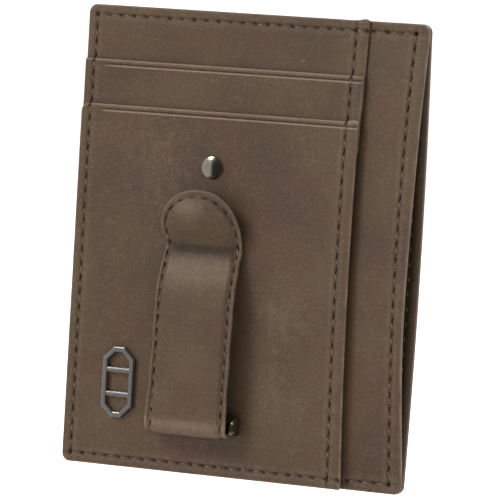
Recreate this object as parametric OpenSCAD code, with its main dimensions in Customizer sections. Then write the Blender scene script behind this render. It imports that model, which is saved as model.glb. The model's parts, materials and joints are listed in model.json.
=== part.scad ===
// Front-pocket leather wallet with card slots and a leather-covered, sprung money clip.
// It stands upright: +Z up, front facing -Y, pocket mouth facing +X.
// The origin is the bottom centre of the whole object's box.

/* [Wallet] */
// Width across the two leaves
wallet_w = 82.5; // [80:0.5:86]
// Height of the two leaves
wallet_h = 104.8; // [102:0.2:108]
// Radius of the outer corners
corner_r = 1.9; // [1:0.1:3]
// Thickness of the leaves' leather
leather_t = 0.7; // [0.6:0.05:0.9]
// Thickness of a turned leather edge, skived down
turned_t = 0.4; // [0.3:0.05:0.5]
// Width of the turned edges inside the centre pocket
turned_w = 8; // [6:0.5:10]
// Thickness of the cloth linings
lining_t = 0.25; // [0.2:0.05:0.3]
// Distance of the perimeter seam from the edge
seam_inset = 2.2; // [1.8:0.1:2.6]
// Distance of the mouth seams from the right edge
mouth_inset = 3.1; // [2.8:0.1:3.4]

/* [Pocket mouth] */
// How far the front leaf bows out at the middle of the mouth
front_bow = 4.8; // [4.4:0.1:5.4]
// How far the back leaf bows out at the middle of the mouth
back_bow = 1.8; // [1.4:0.1:2.2]

/* [Card slots] */
// Right edge of the card slots, from the centre
stack_x = 27.4; // [26:0.1:29]
// Height of the upper slot's edge
upper_edge_z = 92.5; // [91:0.1:94]
// Height of the lower slot's edge
lower_edge_z = 82.3; // [80:0.1:84]
// Thickness of the slots' leather
pocket_t = 0.65; // [0.6:0.05:0.7]
// Step from one slot's face to the next
slot_step = 0.75; // [0.75:0.05:0.8]
// Distance of the hem seam from the slots' right edge
hem_inset = 3.1; // [2.8:0.1:3.3]

/* [Money clip] */
// Middle of the clip, from the centre
clip_x = -8.35; // [-9:0.05:-7.5]
// Width of the leather-covered strap
clip_w = 19; // [18.9:0.1:19.3]
// Width of the steel inside the strap
steel_w = 14.4; // [14:0.1:14.6]
// Thickness of the spring steel
steel_t = 0.6; // [0.5:0.05:0.7]
// Thickness of the strap's outer leather
cover_t = 0.7; // [0.6:0.05:0.8]
// Thickness of the strap's inner leather
cover_inner_t = 0.5; // [0.4:0.05:0.55]
// Height of the hinge above the bottom edge
hinge_z = 12.1; // [12:0.1:13]
// Distance of the hinge from the face it stands on
hinge_h = 2.3; // [2.3:0.05:2.5]
// Radius of the hinge pin
pin_r = 1.6; // [1.5:0.05:1.6]
// Radial running clearance of the pin in the arm
pin_clearance = 0.05; // [0.03:0.01:0.08]
// Half of the hinge's length over the pin's heads
hinge_half = 11.05; // [11:0.05:11.3]
// Top of the rounded lip
tip_z = 64.8; // [64:0.1:66]

/* [Rivet and badge] */
// Middle of the rivet, from the centre
rivet_x = -7.9; // [-8.5:0.1:-7.5]
// Height of the rivet above the bottom edge
rivet_z = 69.7; // [69:0.1:71]
// Radius of the rivet's domed head
rivet_r = 2.6; // [2.4:0.1:2.8]
// Height of the rivet's dome
rivet_h = 0.9; // [0.7:0.1:1.1]
// Middle of the badge, from the centre
badge_x = -27.8; // [-29:0.1:-27]
// Middle of the badge, above the bottom edge
badge_z = 19.3; // [18:0.1:21]
// Width of the badge
badge_w = 7.8; // [7:0.1:8.4]
// Height of the badge
badge_h = 16.2; // [15:0.1:17]
// Thickness of the badge
badge_t = 1.2; // [1:0.1:1.4]
// Width of the badge's bars
badge_bar = 1.2; // [1:0.1:1.3]

/* [Stitching] */
// Pitch of the stitches along the wallet's top and bottom edges
stitch_pitch = 3; // [2.8:0.1:3.4]
// Pitch of the stitches in the wallet's upright seams
upright_pitch = 3.3; // [3:0.1:3.5]
// Pitch of the clip's stitches
clip_pitch = 3; // [2.6:0.1:3.2]
// Radius of the thread
thread_r = 0.22; // [0.18:0.01:0.25]

/* [Hidden] */

leather = "#64513f";
leather_dark = "#4c3d31";
lining_colour = "#241f1b";
thread_colour = "#4a3a2e";
gunmetal = "#6d6c6a";
steel = "#b4b6b8";

half_w = wallet_w / 2;
mid_z = wallet_h / 2;
leaf_t = leather_t + turned_t;

// Leaf and slot faces, as y distances behind (+) or in front of (-) the front leaf's face
pocket_gap = 0.1;
stack_back_face = -(pocket_gap + 0.05 + pocket_t);
upper_face = stack_back_face - slot_step;
lower_face = upper_face - slot_step;
plate_t = 0.5;

// The clip's side profile, as [distance from the lower slot's face, height]
arm_barrel_r = pin_r + pin_clearance + steel_t;
base_barrel_r = pin_r + 0.6;
arm_mid_r = arm_barrel_r - steel_t / 2;
clip_foot_h = hinge_h + 3.3;
clip_keys = [
    [hinge_h, hinge_z - arm_mid_r],
    [clip_foot_h, hinge_z - arm_mid_r],
    [4.55, 41.5],
    [0.5, 52],
    [4.9, 58.8],
    [5.3, tip_z]
];
clip_bends = [1.7, 4, 2.2, 3];
bend_steps = 6;
cover_start_h = hinge_h + 1.2;
inner_cover_z = 14.5;
lip_ry = 8.8;
cover_margin = (clip_w - steel_w) / 2;
cover_seam_inset = 1.3;
fit_gap = 0.1;

// Hinge layout along its pin, as distances from the clip's middle
pin_head_t = 0.4;
base_barrel_in = steel_w / 2 + 0.2;
base_barrel_out = hinge_half - pin_head_t;
arm_barrel_in = 4;
spring_half = 3.6;
spring_wire_r = 0.25;
spring_mean_r = pin_r + 0.1 + spring_wire_r;
spring_turns = 13;
spring_leg = 3.4;
plate_half = 8;
plate_bottom = 8.6;
plate_top = 73.6;

rivet_shank_r = 1.1;
rivet_tail_r = 1.8;
rivet_tail_t = 0.2;
prong_r = 0.5;
prong_z = badge_h / 2 - badge_bar / 2;
washer_r = 1.5;
washer_t = 0.3;

// How far the thread stands off the faces, which are faceted where they bow
seam_gap = 0.06;
thread_out = 2 * thread_r + seam_gap;
clip_front = -lower_face + clip_foot_h + steel_t / 2 + cover_t + thread_out;
mouth_x = half_w - mouth_inset;
leaf_back = 2 * leaf_t + back_bow * bow_share(mouth_x, mid_z) + thread_out;
// The thread on the clip's foot is foremost, and the thread at the middle of the back leaf's mouth
// rearmost: the origin is half way between them
face_y = (clip_front - leaf_back) / 2;

bow_columns = 8;
bow_rows = 14;
corner_steps = [0, 30, 60];
fine = 32;

// How far a leaf stands out of its flat shape, as a share of its bow
function bow_share(x, z) =
    let (s = max(0, x) / half_w, u = (z - mid_z) / (mid_z - seam_inset))
    s * s * (1.6 - 0.6 * s * s) * max(0, 1 - u * u);

// How far a rounded corner of radius r sets the edge in, at distance d from the end
function corner_in(d, r) = d >= r ? 0 : r - sqrt(r * r - (r - d) * (r - d));

function join(lists) = [for (l = lists) each l];

function row_heights(z, r) = join([
    [for (a = corner_steps) z[0] + r * (1 - cos(a))],
    [z[0] + max(r, 0.4)],
    [for (i = [0:bow_rows]) let (h = i * wallet_h / bow_rows)
        if (h > z[0] + max(r, 0.4) + 0.5 && h < z[1] - max(r, 0.4) - 0.5) h],
    [z[1] - max(r, 0.4)],
    [for (i = [len(corner_steps) - 1:-1:0]) z[1] - r * (1 - cos(corner_steps[i]))]
]);

function with_rim(list, low, high) = join([
    [for (v = list) if (v < low - 0.6) v],
    [low - 0.5, low],
    [for (v = list) if (v > low + 0.6 && v < high - 0.6) v],
    [high, high + 0.5],
    [for (v = list) if (v > high + 0.6) v]
]);

// A sheet that follows its leaf's bow. Its face is at y, its other side at y + t, where t may be
// negative. rim_t is added to t in a border of width turned_w, with a skived edge.
module sheet(x, z, y, t, bow, left_r = 0, right_r = 0, rim_t = 0) {
    r = max(left_r, right_r, 0.3);
    plain_z = row_heights(z, r);
    heights = rim_t == 0 ? plain_z : with_rim(plain_z, z[0] + turned_w, z[1] - turned_w);
    bow_x = [for (i = [0:bow_columns - 1]) let (v = i * half_w / bow_columns)
        if (v > x[0] + 3 && v < x[1] - 3) v];
    middle = rim_t == 0 ? bow_x : with_rim(bow_x, x[0] + turned_w, x[1] - turned_w);
    nx = len(middle) + 2;
    nz = len(heights);
    function end_in(h, r) = r == 0 ? 0 : corner_in(min(h - z[0], z[1] - h), r);
    function in_window(v, h) =
        v > x[0] + turned_w - 0.1 && v < x[1] - turned_w + 0.1 &&
        h > z[0] + turned_w - 0.1 && h < z[1] - turned_w + 0.1;
    function depth(v, h) = rim_t == 0 || in_window(v, h) ? t : t + rim_t;
    grid = [for (h = heights) [
        for (v = join([[x[0] + end_in(h, left_r)], middle, [x[1] - end_in(h, right_r)]])) [v, h]
    ]];
    face = [for (row = grid) for (p = row)
        [p[0], face_y + y + bow * bow_share(p[0], p[1]), p[1]]];
    other = [for (row = grid) for (p = row)
        [p[0], face_y + y + depth(p[0], p[1]) + bow * bow_share(p[0], p[1]), p[1]]];
    n = nx * nz;
    quads = join([
        [for (j = [0:nz - 2]) for (i = [0:nx - 2])
            [j * nx + i, (j + 1) * nx + i, (j + 1) * nx + i + 1, j * nx + i + 1]],
        [for (j = [0:nz - 2]) for (i = [0:nx - 2])
            [n + j * nx + i, n + j * nx + i + 1, n + (j + 1) * nx + i + 1, n + (j + 1) * nx + i]],
        [for (i = [0:nx - 2]) [i, i + 1, n + i + 1, n + i]],
        [for (i = [0:nx - 2]) let (k = (nz - 1) * nx + i) [k + 1, k, n + k, n + k + 1]],
        [for (j = [0:nz - 2]) let (k = j * nx) [k + nx, k, n + k, n + k + nx]],
        [for (j = [0:nz - 2]) let (k = j * nx + nx - 1) [k, k + nx, n + k + nx, n + k]]
    ]);
    faces = t > 0 ? quads : [for (q = quads) [q[3], q[2], q[1], q[0]]];
    triangles = join([for (q = faces) [[q[0], q[1], q[2]], [q[0], q[2], q[3]]]]);
    polyhedron(concat(face, other), triangles);
}

// A stitch from a to b, lying on a surface whose outward side is side (-1 front, 1 back)
module stitch(a, b, side) {
    d = b - a;
    long = norm(d);
    lift = [0, side * (thread_r + seam_gap), 0];
    tilt = acos(d[2] / long);
    turn = atan2(d[1], d[0]);
    translate(a + lift + d * 0.12) rotate([0, tilt, turn])
        cylinder(h = long * 0.76, r = thread_r, $fn = fine);
}

// A row of stitches along a straight seam in front view, on the face at y of a bowed leaf
module stitch_row(from, to, y, bow, side) {
    count = round(norm(to - from) / (from[0] == to[0] ? upright_pitch : stitch_pitch));
    function on_face(k) = let (p = from + (to - from) * k / count)
        [p[0], face_y + y + bow * bow_share(p[0], p[1]), p[1]];
    for (k = [0:count - 1]) stitch(on_face(k), on_face(k + 1), side);
}

module back_panel()
    color(leather)
        sheet([-half_w, half_w], [0, wallet_h], 2 * leaf_t, -leather_t, back_bow,
            corner_r, corner_r, -turned_t);

module back_lining()
    color(lining_colour)
        sheet([-half_w + turned_w + 0.2, half_w - turned_w - 0.2],
            [turned_w + 0.2, wallet_h - turned_w - 0.2],
            2 * leaf_t - leather_t - 0.05, -lining_t, back_bow);

module front_panel()
    color(leather)
        sheet([-half_w, half_w], [0, wallet_h], 0, leather_t, -front_bow,
            corner_r, corner_r, turned_t);

module front_lining()
    color(lining_colour)
        sheet([-half_w + turned_w + 0.2, half_w - turned_w - 0.2],
            [turned_w + 0.2, wallet_h - turned_w - 0.2],
            leather_t + 0.05, lining_t, -front_bow);

stack_join_z = upper_edge_z - 8;
module stack_back_panel()
    color(leather)
        sheet([-half_w, stack_x], [stack_join_z, wallet_h], stack_back_face, pocket_t, -front_bow,
            corner_r, 0.3);

module stack_lining()
    color(lining_colour)
        sheet([-half_w, stack_x - 1], [0, stack_join_z - 0.1], -pocket_gap, -lining_t, -front_bow,
            corner_r, 0.3);

upper_join_z = lower_edge_z - 7;
module upper_pocket_panel()
    color(leather)
        sheet([-half_w, stack_x], [upper_join_z, upper_edge_z], upper_face, pocket_t, -front_bow,
            0.3, 0.3);

upper_pocket_floor = 12;
module upper_pocket_lining()
    color(lining_colour)
        sheet([-half_w, stack_x - 1], [upper_pocket_floor, upper_join_z - 0.2],
            upper_face + pocket_t + lining_t, -lining_t, -front_bow, 0.3, 0.3);

module lower_pocket_panel()
    color(leather) difference() {
        sheet([-half_w, stack_x], [0, lower_edge_z], lower_face, pocket_t, -front_bow,
            corner_r, 0.3);
        // slits for the hinge's two tabs
        for (side = [-1, 1])
            translate([clip_x + side * (base_barrel_in + base_barrel_out) / 2,
                face_y + lower_face, hinge_z - base_barrel_r + plate_t / 2])
                cube([base_barrel_out - base_barrel_in + 0.2, 4 * pocket_t, plate_t + 0.2],
                    center = true);
        translate([rivet_x, face_y + lower_face, rivet_z]) rotate([90, 0, 0])
            cylinder(h = 4 * pocket_t, r = rivet_shank_r, center = true, $fn = fine);
        for (side = [-1, 1])
            translate([badge_x, face_y + lower_face, badge_z + side * prong_z])
                rotate([90, 0, 0])
                    cylinder(h = 4 * pocket_t, r = prong_r, center = true, $fn = fine);
    }

seam_x = half_w - seam_inset;
seam_top = wallet_h - seam_inset;
hem_x = stack_x - hem_inset;

// The face's y at the left, top and bottom seams, by height
function stack_face(z) = z < lower_edge_z ? lower_face : z < upper_edge_z ? upper_face : stack_back_face;

module perimeter_stitching()
    color(thread_colour) {
        // front: bottom, left in three steps, top
        stitch_row([-seam_x, seam_inset], [stack_x - 0.6, seam_inset], lower_face, 0, -1);
        stitch_row([stack_x + 0.6, seam_inset], [mouth_x, seam_inset], 0, 0, -1);
        stitch_row([-seam_x, seam_inset], [-seam_x, lower_edge_z - 0.4], lower_face, 0, -1);
        stitch_row([-seam_x, lower_edge_z + 0.4], [-seam_x, upper_edge_z - 0.4], upper_face, 0, -1);
        stitch_row([-seam_x, upper_edge_z + 0.4], [-seam_x, seam_top], stack_back_face, 0, -1);
        stitch_row([-seam_x, seam_top], [stack_x - 0.6, seam_top], stack_back_face, 0, -1);
        stitch_row([stack_x + 0.6, seam_top], [mouth_x, seam_top], 0, 0, -1);
        // back: bottom, left, top
        stitch_row([-seam_x, seam_inset], [mouth_x, seam_inset], 2 * leaf_t, 0, 1);
        stitch_row([-seam_x, seam_inset], [-seam_x, seam_top], 2 * leaf_t, 0, 1);
        stitch_row([-seam_x, seam_top], [mouth_x, seam_top], 2 * leaf_t, 0, 1);
    }

module stack_hem_stitching()
    color(thread_colour) {
        stitch_row([hem_x, seam_inset + 0.6], [hem_x, lower_edge_z - 0.4], lower_face, -front_bow, -1);
        stitch_row([hem_x, lower_edge_z + 0.4], [hem_x, upper_edge_z - 0.4], upper_face, -front_bow, -1);
        stitch_row([hem_x, upper_edge_z + 0.4], [hem_x, seam_top - 0.6], stack_back_face, -front_bow, -1);
    }

module front_mouth_stitching()
    color(thread_colour) {
        stitch_row([mouth_x, seam_inset + 0.6], [mouth_x, seam_top - 0.6], 0, -front_bow, -1);
        stitch_row([mouth_x, turned_w], [mouth_x, wallet_h - turned_w], leaf_t, -front_bow, 1);
    }

module back_mouth_stitching()
    color(thread_colour) {
        stitch_row([mouth_x, seam_inset + 0.6], [mouth_x, seam_top - 0.6], 2 * leaf_t, back_bow, 1);
        stitch_row([mouth_x, turned_w], [mouth_x, wallet_h - turned_w], leaf_t, back_bow, -1);
    }

// Places what is drawn as [x from the clip's middle, distance from the slot's face, height]
module at_clip() translate([clip_x, face_y + lower_face, 0]) mirror([0, 1, 0]) children();

// A bar along the hinge's axis, from a to b
module hinge_bar(a, b, r)
    translate([a, hinge_h, hinge_z]) rotate([0, 90, 0]) cylinder(h = b - a, r = r, $fn = fine);

// The steel's middle line: straight runs joined by smooth bends
function bend(p, q, r, reach, k) =
    let (
        s = q + (p - q) / norm(p - q) * min(reach, norm(p - q) / 2),
        e = q + (r - q) / norm(r - q) * min(reach, norm(r - q) / 2),
        t = k / bend_steps
    )
    (1 - t) * (1 - t) * s + 2 * t * (1 - t) * q + t * t * e;

clip_line = join([
    [clip_keys[0]],
    [for (i = [1:4]) for (k = [0:bend_steps])
        bend(clip_keys[i - 1], clip_keys[i], clip_keys[i + 1], clip_bends[i - 1], k)],
    [clip_keys[5]]
]);

// Outward normal of the line at point i
function line_normal(i) =
    let (
        a = clip_line[max(0, i - 1)],
        b = clip_line[min(len(clip_line) - 1, i + 1)],
        d = (b - a) / norm(b - a)
    )
    [d[1], -d[0]];

// The strap's layer between two distances from the steel's middle line, over a given width
module clip_layer(low, high, width) {
    n = len(clip_line);
    outer = [for (i = [0:n - 1]) clip_line[i] + line_normal(i) * high];
    inner = [for (i = [n - 1:-1:0]) clip_line[i] + line_normal(i) * low];
    translate([-width / 2, 0, 0]) rotate([90, 0, 90])
        linear_extrude(width) polygon(concat(outer, inner));
}

// Front outline of the strap, set in by an inset: straight sides and a rounded lip
module clip_outline(inset) {
    w = clip_w / 2 - inset;
    ry = lip_ry - inset;
    zc = tip_z - lip_ry;
    points = concat([[-w, -5], [w, -5]], [for (a = [0:7.5:180]) [w * cos(a), zc + ry * sin(a)]]);
    translate([0, 12, 0]) rotate([90, 0, 0]) linear_extrude(16) polygon(points);
}

// The clip's outer leather: it covers the steel's face and turns under at its foot
module clip_cover_outer()
    color(leather) at_clip() difference() {
        intersection() {
            clip_layer(steel_t / 2, steel_t / 2 + cover_t, clip_w);
            clip_outline(0);
        }
        translate([-clip_w, -1, 0]) cube([2 * clip_w, 1 + cover_start_h, hinge_z]);
    }

// The clip's inner leather, with a raised border that fills the gap round the steel
module clip_cover_inner()
    color(leather_dark) at_clip() difference() {
        intersection() {
            clip_layer(-steel_t / 2 - cover_inner_t, steel_t / 2, clip_w);
            clip_outline(0);
        }
        intersection() {
            clip_layer(-steel_t / 2, steel_t, steel_w + 2 * fit_gap);
            clip_outline(cover_margin - fit_gap);
        }
        translate([-clip_w, -1, 0]) cube([2 * clip_w, 12, inner_cover_z]);
    }

module clip_arm()
    color(steel) at_clip() difference() {
        union() {
            intersection() {
                clip_layer(-steel_t / 2, steel_t / 2, steel_w);
                clip_outline(cover_margin);
            }
            hinge_bar(-steel_w / 2, steel_w / 2, arm_barrel_r);
        }
        hinge_bar(-clip_w, clip_w, pin_r + pin_clearance);
        // window for the torsion spring
        translate([-arm_barrel_in, -1, plate_bottom])
            cube([2 * arm_barrel_in, 8, hinge_z + arm_barrel_r + 0.3 - plate_bottom]);
    }

module clip_base_plate()
    color(steel) at_clip() difference() {
        union() {
            translate([-plate_half, -pocket_t - plate_t, plate_bottom])
                cube([2 * plate_half, plate_t, plate_top - plate_bottom]);
            translate([-base_barrel_out, -pocket_t - plate_t, plate_bottom])
                cube([2 * base_barrel_out, plate_t, 7]);
            for (side = [-1, 1]) {
                middle = side * (base_barrel_in + base_barrel_out) / 2;
                half = (base_barrel_out - base_barrel_in) / 2;
                translate([middle - half, -pocket_t - plate_t, hinge_z - base_barrel_r])
                    cube([2 * half, pocket_t + plate_t + hinge_h, plate_t]);
                hinge_bar(middle - half, middle + half, base_barrel_r);
            }
        }
        hinge_bar(-2 * hinge_half, 2 * hinge_half, pin_r);
        translate([rivet_x - clip_x, 0, rivet_z]) rotate([90, 0, 0])
            cylinder(h = 8, r = rivet_shank_r, center = true, $fn = fine);
    }

module hinge_pin()
    color(gunmetal) at_clip() {
        hinge_bar(-base_barrel_out, base_barrel_out, pin_r);
        for (side = [-1, 1])
            translate([side * (hinge_half - pin_head_t / 2), hinge_h, hinge_z]) rotate([0, 90, 0])
                cylinder(h = pin_head_t, r = base_barrel_r - 0.2, center = true, $fn = fine);
    }

// The spring's turns lie side by side round the pin; one leg bears on the face, one on the arm
module torsion_spring()
    color(steel) at_clip() {
        translate([0, hinge_h, hinge_z]) rotate([0, 90, 0]) rotate_extrude($fn = 48) {
            for (k = [0:spring_turns - 1])
                translate([spring_mean_r,
                    -spring_half + spring_wire_r + k * 2 * (spring_half - spring_wire_r) / (spring_turns - 1)])
                    circle(r = spring_wire_r * 1.12, $fn = 24);
        }
        for (side = [-1, 1])
            translate([side * (spring_half - spring_wire_r), hinge_h + side * spring_mean_r, hinge_z])
                cylinder(h = spring_leg, r = spring_wire_r, $fn = 24);
    }

module clip_rivet() {
    dome_r = (rivet_r * rivet_r + rivet_h * rivet_h) / (2 * rivet_h);
    color(gunmetal) at_clip() translate([rivet_x - clip_x, 0, rivet_z]) rotate([-90, 0, 0]) {
        intersection() {
            translate([0, 0, rivet_h - dome_r]) sphere(r = dome_r, $fn = 96);
            cylinder(h = rivet_h, r = rivet_r, $fn = 48);
        }
        translate([0, 0, -pocket_t - plate_t])
            cylinder(h = pocket_t + plate_t, r = rivet_shank_r, $fn = fine);
        translate([0, 0, -pocket_t - plate_t - rivet_tail_t])
            cylinder(h = rivet_tail_t, r = rivet_tail_r, $fn = fine);
    }
}

// How far the strap's outer face stands from the slot's face, at height z
function height_on_face(z) =
    let (
        face = [for (i = [0:len(clip_line) - 1])
            clip_line[i] + line_normal(i) * (steel_t / 2 + cover_t)],
        k = max([for (i = [bend_steps:len(face) - 2]) if (face[i][1] <= z) i])
    )
    face[k][0] + (face[k + 1][0] - face[k][0]) * (z - face[k][1]) / (face[k + 1][1] - face[k][1]);

// The seam's line in front view: up the left side, round the lip and down the right side
clip_seam_w = clip_w / 2 - cover_seam_inset;
clip_seam_foot = 12;
lip_z = tip_z - lip_ry;
side_stitches = round((lip_z - clip_seam_foot) / clip_pitch);
lip_stitches = 11;
clip_seam_z = [for (i = [0:side_stitches])
    clip_seam_foot + i * (lip_z - clip_seam_foot) / side_stitches];
clip_seam = concat(
    [for (z = clip_seam_z) [-clip_seam_w, z]],
    [for (k = [1:lip_stitches - 1]) let (a = 180 - 180 * k / lip_stitches)
        [clip_seam_w * cos(a), lip_z + (lip_ry - cover_seam_inset) * sin(a)]],
    [for (i = [side_stitches:-1:0]) [clip_seam_w, clip_seam_z[i]]]
);

module clip_stitching()
    color(thread_colour)
        for (i = [0:len(clip_seam) - 2]) {
            a = clip_seam[i];
            b = clip_seam[i + 1];
            lift = 0.03; // more room where the strap bends
            stitch([clip_x + a[0], face_y + lower_face - height_on_face(a[1]) - lift, a[1]],
                [clip_x + b[0], face_y + lower_face - height_on_face(b[1]) - lift, b[1]], -1);
        }

// A tall octagonal frame with two cross bars
module badge_shape(inset) {
    w = badge_w / 2 - inset;
    h = badge_h / 2 - inset;
    cut = 2.6 - inset * 0.6;
    polygon([[-w, -h + cut], [-w + cut, -h], [w - cut, -h], [w, -h + cut],
        [w, h - cut], [w - cut, h], [-w + cut, h], [-w, h - cut]]);
}

module badge()
    color(gunmetal) translate([badge_x, face_y + lower_face, badge_z]) rotate([90, 0, 0]) {
        linear_extrude(badge_t) union() {
            difference() {
                badge_shape(0);
                badge_shape(badge_bar);
            }
            for (side = [-1, 1])
                translate([0, side * badge_h * 0.17])
                    square([badge_w - badge_bar, badge_bar], center = true);
        }
        for (side = [-1, 1])
            translate([0, side * prong_z, -pocket_t - washer_t])
                cylinder(h = pocket_t + washer_t, r = prong_r, $fn = fine);
    }

module badge_clinch_washers()
    color(steel) translate([badge_x, face_y + lower_face, badge_z]) rotate([90, 0, 0])
        for (side = [-1, 1])
            translate([0, side * prong_z, -pocket_t - washer_t]) difference() {
                cylinder(h = washer_t, r = washer_r, $fn = fine);
                translate([0, 0, -1]) cylinder(h = 3, r = prong_r, $fn = fine);
            }

back_panel();
back_lining();
front_panel();
front_lining();
stack_back_panel();
stack_lining();
upper_pocket_panel();
upper_pocket_lining();
lower_pocket_panel();
perimeter_stitching();
stack_hem_stitching();
front_mouth_stitching();
back_mouth_stitching();
clip_base_plate();
clip_arm();
hinge_pin();
torsion_spring();
clip_rivet();
clip_cover_outer();
clip_cover_inner();
clip_stitching();
badge();
badge_clinch_washers();
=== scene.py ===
"""A front-pocket leather wallet with card slots and a leather-covered money clip.

Lengths in this file are in millimetres until a mesh is made, and the frame is the CAD's:
+Z up, the front facing -Y, the pocket's mouth facing +X.
"""

import json
import math

import bpy
import numpy as np
from mathutils import Matrix, Vector


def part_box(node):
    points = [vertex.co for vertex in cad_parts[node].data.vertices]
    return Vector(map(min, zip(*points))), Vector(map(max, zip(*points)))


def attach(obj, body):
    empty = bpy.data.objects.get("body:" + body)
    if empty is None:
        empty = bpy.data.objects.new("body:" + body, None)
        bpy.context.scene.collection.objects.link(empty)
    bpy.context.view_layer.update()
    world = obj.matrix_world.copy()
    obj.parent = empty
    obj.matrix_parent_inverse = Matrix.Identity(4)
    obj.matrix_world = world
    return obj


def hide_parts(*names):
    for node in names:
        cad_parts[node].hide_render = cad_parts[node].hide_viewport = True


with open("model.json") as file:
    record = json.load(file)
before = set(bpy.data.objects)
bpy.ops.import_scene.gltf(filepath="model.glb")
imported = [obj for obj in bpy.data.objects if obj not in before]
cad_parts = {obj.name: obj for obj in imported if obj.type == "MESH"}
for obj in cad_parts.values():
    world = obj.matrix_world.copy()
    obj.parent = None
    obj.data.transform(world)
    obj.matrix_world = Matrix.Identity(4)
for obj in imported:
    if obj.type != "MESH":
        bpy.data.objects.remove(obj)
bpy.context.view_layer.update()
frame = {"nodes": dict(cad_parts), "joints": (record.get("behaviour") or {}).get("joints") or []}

MM = 0.001
TAU = 2 * math.pi


def node_box(node):
    """Lowest and highest corners of a CAD node, in millimetres."""
    low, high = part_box(node)
    return np.array(low) / MM, np.array(high) / MM


# ---------------- sizes
panel_low, panel_high = node_box("front_panel")
WALLET_W = panel_high[0] - panel_low[0]
WALLET_H = panel_high[2] - panel_low[2]
HALF_W = WALLET_W / 2
LEATHER_T = 0.7
TURNED_T = 0.4
LEAF_T = LEATHER_T + TURNED_T
TURNED_W = 8.0
CORNER_R = 1.9
SEAM_INSET = 2.2
MOUTH_INSET = 3.1
BACK_MOUTH_INSET = 2.3
FRONT_BOW = -4.8
BACK_BOW = 1.8
FACE_Y = panel_high[1] - LEAF_T  # the front leaf's outer face, where it is flat

STACK_X = node_box("lower_pocket_panel")[1][0]
LOWER_EDGE_Z = node_box("lower_pocket_panel")[1][2]
UPPER_EDGE_Z = node_box("upper_pocket_panel")[1][2]
STACK_BACK_FACE = -0.8
UPPER_FACE = -1.55
LOWER_FACE = -2.3
POCKET_T = 0.65
HEM_INSET = 3.1
PITCH = 3.0
UPRIGHT_PITCH = 3.3

hinge = next(j for j in frame["joints"] if j["name"] == "clip_hinge")
CLIP_X, HINGE_Y, HINGE_Z = (c / MM for c in hinge["pos_m"])
CLIP_FACE_Y = FACE_Y + LOWER_FACE  # the leather that the clip stands on
HINGE_H = CLIP_FACE_Y - HINGE_Y
CLIP_HALF_W = (node_box("clip_cover_outer")[1][0] - node_box("clip_cover_outer")[0][0]) / 2
STEEL_T = 0.6
COVER_T = 0.7
COVER_INNER_T = 0.5
TIP_Z = 64.8
LIP_RY = 8.8
LIP_Z = TIP_Z - LIP_RY
CLIP_SEAM_INSET = 1.0
LIP_SEAM_INSET = 1.7
CLIP_PITCH = 3.0

rng = np.random.default_rng(7)


# ---------------- camera
CAM_AZIMUTH = math.radians(22.46)
CAM_ELEVATION = math.radians(3.68)
CAM_ROLL = math.radians(3.41)
CAM_DISTANCE = 0.940
CAM_LENS = 299.3
CAM_TARGET = Vector((1.70, FACE_Y, 52.07)) * MM


def add_camera():
    back = Vector((
        math.sin(CAM_AZIMUTH) * math.cos(CAM_ELEVATION),
        -math.cos(CAM_AZIMUTH) * math.cos(CAM_ELEVATION),
        math.sin(CAM_ELEVATION),
    ))
    level = Vector((math.cos(CAM_AZIMUTH), math.sin(CAM_AZIMUTH), 0))
    upright = back.cross(level)
    right = math.cos(CAM_ROLL) * level + math.sin(CAM_ROLL) * upright
    up = back.cross(right)
    data = bpy.data.cameras.new("camera")
    data.lens = CAM_LENS
    data.sensor_width = 36
    data.clip_start = 0.01
    camera = bpy.data.objects.new("camera", data)
    bpy.context.scene.collection.objects.link(camera)
    place = Matrix((right, up, back)).transposed().to_4x4()
    place.translation = CAM_TARGET + CAM_DISTANCE * back
    camera.matrix_world = place
    bpy.context.scene.camera = camera


# ---------------- light and floor
def add_area_light(name, place, aim, size, power):
    data = bpy.data.lights.new(name, "AREA")
    data.shape = "DISK"
    data.size = size
    data.energy = power
    light = bpy.data.objects.new(name, data)
    bpy.context.scene.collection.objects.link(light)
    light.location = place
    light.rotation_euler = (Vector(aim) - Vector(place)).to_track_quat("-Z", "Y").to_euler()
    return light


def add_studio():
    scene = bpy.context.scene
    scene.view_settings.view_transform = "Standard"
    scene.world = studio_world()
    middle = (0, 0, 0.05)
    add_area_light("key", (-0.85, -1.2, 1.15), middle, 0.7, 21.5)
    fill = add_area_light("fill", (-0.1, -0.6, 0.06), (0, 0, 0.03), 0.4, 1.2)
    fill.visible_glossy = False
    add_area_light("back", (0.1, 0.8, 0.6), middle, 0.6, 5)
    bpy.ops.mesh.primitive_plane_add(size=40, location=(0, 0, 0))
    floor = bpy.context.object
    floor.name = "floor"
    material = floor_material()
    bpy.ops.mesh.primitive_cylinder_add(
        vertices=96, radius=4, depth=1, end_fill_type="NOTHING", location=(0, 0, 0.45))
    wall = bpy.context.object
    wall.name = "backdrop"
    for piece in (floor, wall):
        piece.visible_glossy = False
        piece.data.materials.append(material)


def studio_world():
    """White behind the wallet; in front of it, a bright side on the left and a dim one on the
    right, which the metal reflects."""
    world = bpy.data.worlds.new("studio")
    world.use_nodes = True
    n = Nodes(world.node_tree)
    split = n.add("SeparateXYZ", {0: n.add("TexCoord").outputs["Generated"]})
    sides = n.spread(split.outputs["X"], -0.46, -0.28, 0.51, 0.04, "SMOOTHSTEP")
    strength = n.spread(split.outputs["Y"], -0.25, 0.2, sides, 1.02, "SMOOTHSTEP")
    background = n.tree.nodes["Background"]
    n.link(strength, background.inputs["Strength"])
    n.link((1, 1, 1), background.inputs["Color"])
    return world


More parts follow.
